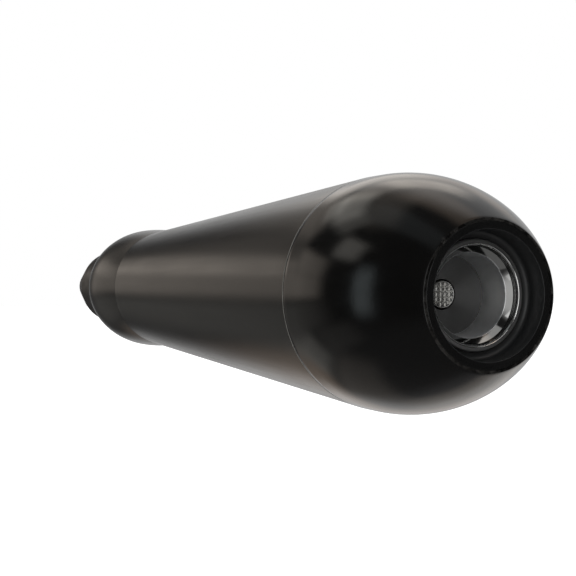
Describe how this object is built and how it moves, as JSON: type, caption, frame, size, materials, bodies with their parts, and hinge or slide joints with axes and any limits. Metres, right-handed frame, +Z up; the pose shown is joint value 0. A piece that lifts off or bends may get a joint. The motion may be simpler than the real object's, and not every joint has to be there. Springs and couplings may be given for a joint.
{
  "type": "plasma pen",
  "caption": "Cordless plasma pen with a domed head, a recessed tip socket and sprung contact pin, a tapered tube, and a tail cap with a push button.",
  "frame": {"origin": "middle of the tip socket's mouth, on the pen's axis", "axes": "+X along the pen's axis and out of the tip socket, +Z up; the pen lies level"},
  "size_m": [0.1642, 0.0298, 0.0298],
  "materials": {
    "black_anodised": "satin black anodised",
    "gloss_black": "polished black",
    "smoked_gloss": "glossy smoked grey",
    "dark_insulator": "matt dark grey",
    "bright_contact": "bright plated",
    "brass": "plain turned brass",
    "ring_brass": "turned brass ring",
    "spring_steel": "drawn wire and bright steel",
    "seal_rubber": "smooth nitrile rubber",
    "lead_sleeve": "red silicone sleeve",
    "moulded_plastic": "moulded dark grey nylon",
    "circuit_board": "green solder mask",
    "chip_black": "moulded black epoxy",
    "ferrite": "sintered ferrite",
    "winding": "enamelled copper winding",
    "capacitor_can": "sleeved can",
    "cell_wrap": "shrink sleeve over the can",
    "washer_card": "pale fibre washer"
  },
  "bodies": {
    "handle": {"head_shell": "black_anodised", "head_seal": "seal_rubber", "bezel_ring": "gloss_black", "socket_cup": "smoked_gloss", "socket_insulator": "dark_insulator", "socket_lock_ring": "ring_brass", "pin_barrel": "brass", "contact_spring": "spring_steel", "high_voltage_lead": "lead_sleeve", "body_tube": "black_anodised", "chassis_tray": "moulded_plastic", "driver_board": "circuit_board", "board_screws": "spring_steel", "control_chip": "chip_black", "power_transistor": "chip_black", "transformer_bobbin": "moulded_plastic", "transformer_core": "ferrite", "transformer_coil": "winding", "storage_capacitors": "capacitor_can", "contact_carrier": "moulded_plastic", "ground_ring": "brass", "contact_rivet": "brass", "battery_strip": "brass", "battery_cell": "cell_wrap", "battery_washer": "washer_card", "battery_terminal": "spring_steel"},
    "contact_pin": {"contact_pin": "bright_contact"},
    "tail_cap": {"tail_cap": "black_anodised", "tail_seal": "seal_rubber", "tail_board": "circuit_board", "tail_retaining_ring": "ring_brass", "battery_spring": "spring_steel", "switch_housing": "chip_black", "button_spring": "spring_steel"},
    "power_button": {"power_button": "black_anodised", "switch_plunger": "moulded_plastic", "button_clip": "spring_steel", "button_seal": "seal_rubber"}
  },
  "joints": [
    {"name": "contact_pin_travel", "type": "slide", "parent": "handle", "child": "contact_pin", "axis": [-1, 0, 0], "range_m": [0, 0.0015], "stiffness_N_per_m": 300, "springref_m": -0.001, "deforming": ["contact_spring"]},
    {"name": "tail_cap_removal", "type": "slide", "parent": "handle", "child": "tail_cap", "axis": [-1, 0, 0], "range_m": [0, 0.03]},
    {"name": "power_button_press", "type": "slide", "parent": "tail_cap", "child": "power_button", "axis": [1, 0, 0], "range_m": [0, 0.0008], "stiffness_N_per_m": 1200, "springref_m": -0.001, "deforming": ["button_spring"]}
  ]
}
